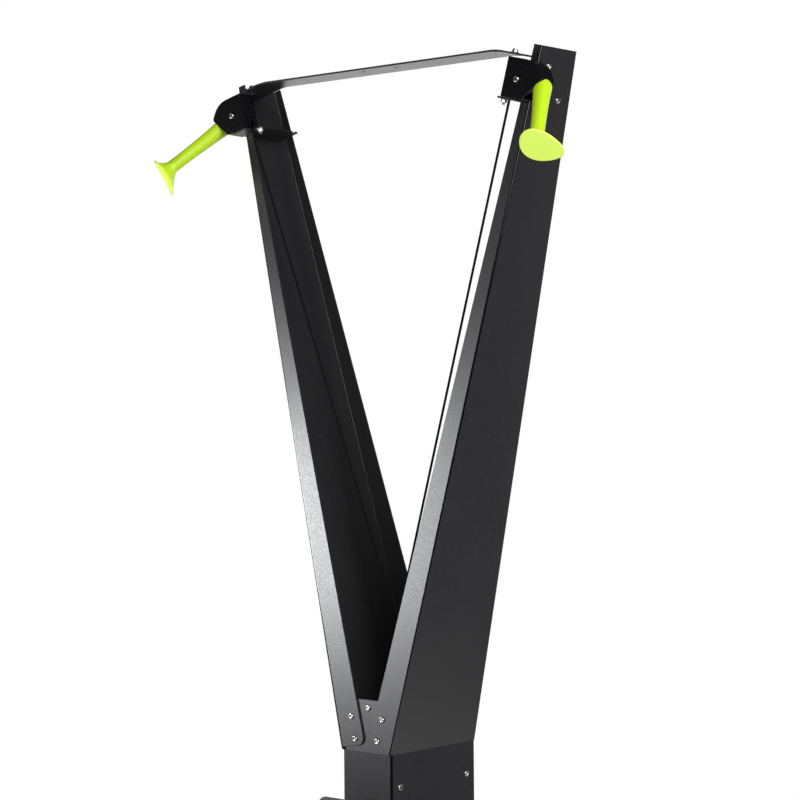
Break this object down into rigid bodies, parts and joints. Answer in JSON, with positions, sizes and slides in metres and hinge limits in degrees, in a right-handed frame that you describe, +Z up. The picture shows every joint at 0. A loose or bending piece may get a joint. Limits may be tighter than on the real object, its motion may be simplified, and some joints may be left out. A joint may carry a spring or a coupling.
{
  "type": "ski trainer machine",
  "caption": "Standing ski trainer: tapered V-shaped arms with cord-pulled handles, an air-braked flywheel with a damper, a tilting monitor and a floor platform.",
  "frame": {"origin": "on the floor, at the middle of the platform: the bottom centre of the bounding box", "axes": "+Z up. The user stands on the -Y side and faces +Y, +X is to the right of the user, and the damper lever is on the +X side."},
  "size_m": [0.8604, 0.96, 2.1516],
  "materials": {
    "frame_coat": "charcoal satin powder coat",
    "gloss_coat": "black semi-gloss coat",
    "black_plastic": "black fine-textured moulding",
    "button_plastic": "smooth dark moulding",
    "steel": "bright zinc-plated steel",
    "fan_aluminium": "mill-finish sheet",
    "pulley_nylon": "dark grey nylon",
    "lime_plastic": "lime green moulding with a satin skin",
    "cord": "black braided polyester",
    "screen_glass": "dark clear display window",
    "mat_rubber": "black ribbed rubber",
    "foot_rubber": "black moulded rubber",
    "wheel_tyre": "black solid wheel"
  },
  "bodies": {
    "frame": {"right_arm": "frame_coat", "left_arm": "frame_coat", "top_strap": "frame_coat", "right_arm_bracket": "frame_coat", "left_arm_bracket": "frame_coat", "column": "frame_coat", "back_cover": "frame_coat", "guide_bracket": "frame_coat", "monitor_bracket": "frame_coat", "base_tray": "frame_coat", "base_stiffener": "frame_coat", "right_pulley_box": "gloss_coat", "left_pulley_box": "gloss_coat", "right_pulley_cheek": "gloss_coat", "left_pulley_cheek": "gloss_coat", "right_spring_case": "black_plastic", "left_spring_case": "black_plastic", "right_fan_cover": "black_plastic", "left_fan_cover": "black_plastic", "right_bearing_cap": "black_plastic", "left_bearing_cap": "black_plastic", "fan_shroud": "black_plastic", "right_pulley_bolt": "steel", "left_pulley_bolt": "steel", "right_guide_pin": "steel", "left_guide_pin": "steel", "right_recoil_spring": "steel", "left_recoil_spring": "steel", "right_bearing": "steel", "left_bearing": "steel", "damper_retainer": "steel", "right_drive_cord": "cord", "left_drive_cord": "cord", "deck_mat": "mat_rubber", "front_left_foot": "foot_rubber", "front_right_foot": "foot_rubber", "rear_left_foot": "foot_rubber", "rear_right_foot": "foot_rubber"},
    "fan": {"fan_wheel": "fan_aluminium", "fan_shaft": "steel"},
    "right_drum": {"right_drum": "black_plastic"},
    "left_drum": {"left_drum": "black_plastic"},
    "right_top_pulley": {"right_top_pulley": "pulley_nylon"},
    "left_top_pulley": {"left_top_pulley": "pulley_nylon"},
    "right_guide_pulley": {"right_guide_pulley": "pulley_nylon"},
    "left_guide_pulley": {"left_guide_pulley": "pulley_nylon"},
    "right_knot": {"right_cord_knot": "cord"},
    "left_knot": {"left_cord_knot": "cord"},
    "right_handle": {"right_handle": "lime_plastic"},
    "left_handle": {"left_handle": "lime_plastic"},
    "damper": {"damper_lever": "gloss_coat"},
    "monitor": {"monitor_front": "black_plastic", "monitor_back": "black_plastic", "monitor_screen": "screen_glass", "monitor_hinge_pin": "steel"},
    "left_button": {"left_monitor_button": "button_plastic"},
    "middle_button": {"middle_monitor_button": "button_plastic"},
    "right_button": {"right_monitor_button": "button_plastic"},
    "left_wheel": {"left_transport_wheel": "wheel_tyre"},
    "right_wheel": {"right_transport_wheel": "wheel_tyre"}
  },
  "joints": [
    {"name": "right_pull", "type": "slide", "parent": "frame", "child": "right_knot", "axis": [-0.0761, -0.4403, -0.8946], "range_m": [0, 1.25], "stiffness_N_per_m": 12, "springref_m": -0.9},
    {"name": "right_swing", "type": "hinge", "parent": "right_knot", "child": "right_handle", "pos_m": [0.34404, 0.24755, 2.07957], "axis": [0.4489, 0.786, -0.425], "range_deg": [0, 28.7]},
    {"name": "left_pull", "type": "slide", "parent": "frame", "child": "left_knot", "axis": [0.0761, -0.4403, -0.8946], "range_m": [0, 1.25], "stiffness_N_per_m": 12, "springref_m": -0.9},
    {"name": "left_swing", "type": "hinge", "parent": "left_knot", "child": "left_handle", "pos_m": [-0.34404, 0.24755, 2.07957], "axis": [0.4528, -0.7841, 0.4244], "range_deg": [0, 38.4]},
    {"name": "right_top_pulley_spin", "type": "hinge", "parent": "frame", "child": "right_top_pulley", "pos_m": [0.30668, 0.24818, 2.0942], "axis": [0, 0.9991, -0.043], "range_deg": [0, 3771.5]},
    {"name": "left_top_pulley_spin", "type": "hinge", "parent": "frame", "child": "left_top_pulley", "pos_m": [-0.30668, 0.24818, 2.0942], "axis": [0, 0.9991, -0.043], "range_deg": [-3771.5, 0]},
    {"name": "left_guide_pulley_spin", "type": "hinge", "parent": "frame", "child": "left_guide_pulley", "pos_m": [-0.026, 0.3136, 1.135], "axis": [0, 1, 0], "range_deg": [0, 3771.5]},
    {"name": "left_drum_spin", "type": "hinge", "parent": "frame", "child": "left_drum", "pos_m": [0, 0.238, 0.62], "axis": [1, 0, 0], "range_deg": [0, 2389.3]},
    {"name": "right_guide_pulley_spin", "type": "hinge", "parent": "frame", "child": "right_guide_pulley", "pos_m": [0.026, 0.296, 1.135], "axis": [0, 1, 0], "range_deg": [-3771.5, 0]},
    {"name": "right_drum_spin", "type": "hinge", "parent": "frame", "child": "right_drum", "pos_m": [0, 0.238, 0.62], "axis": [1, 0, 0], "range_deg": [0, 2389.3]},
    {"name": "flywheel_spin", "type": "hinge", "parent": "frame", "child": "fan", "pos_m": [0, 0.238, 0.62], "axis": [1, 0, 0], "continuous": true},
    {"name": "damper_turn", "type": "hinge", "parent": "frame", "child": "damper", "pos_m": [0, 0.238, 0.62], "axis": [1, 0, 0], "range_deg": [0, 11.25]},
    {"name": "monitor_tilt", "type": "hinge", "parent": "frame", "child": "monitor", "pos_m": [0, 0.189, 0.9], "axis": [1, 0, 0], "range_deg": [-10, 22]},
    {"name": "left_button_press", "type": "slide", "parent": "monitor", "child": "left_button", "axis": [0, 0.9272, -0.3746], "range_m": [0, 0.0015], "stiffness_N_per_m": 400, "springref_m": -0.002},
    {"name": "middle_button_press", "type": "slide", "parent": "monitor", "child": "middle_button", "axis": [0, 0.9272, -0.3746], "range_m": [0, 0.0015], "stiffness_N_per_m": 400, "springref_m": -0.002},
    {"name": "right_button_press", "type": "slide", "parent": "monitor", "child": "right_button", "axis": [0, 0.9272, -0.3746], "range_m": [0, 0.0015], "stiffness_N_per_m": 400, "springref_m": -0.002},
    {"name": "left_wheel_spin", "type": "hinge", "parent": "frame", "child": "left_wheel", "pos_m": [-0.235, 0.45, 0.034], "axis": [1, 0, 0], "continuous": true},
    {"name": "right_wheel_spin", "type": "hinge", "parent": "frame", "child": "right_wheel", "pos_m": [0.235, 0.45, 0.034], "axis": [1, 0, 0], "continuous": true}
  ],
  "couplings": [
    {"joint": "right_top_pulley_spin", "follows": "right_pull", "rad_per_m": 52.632},
    {"joint": "left_top_pulley_spin", "follows": "left_pull", "rad_per_m": -52.632},
    {"joint": "left_guide_pulley_spin", "follows": "right_pull", "rad_per_m": 52.632},
    {"joint": "left_drum_spin", "follows": "right_pull", "rad_per_m": 33.333},
    {"joint": "right_guide_pulley_spin", "follows": "left_pull", "rad_per_m": -52.632},
    {"joint": "right_drum_spin", "follows": "left_pull", "rad_per_m": 33.333}
  ]
}
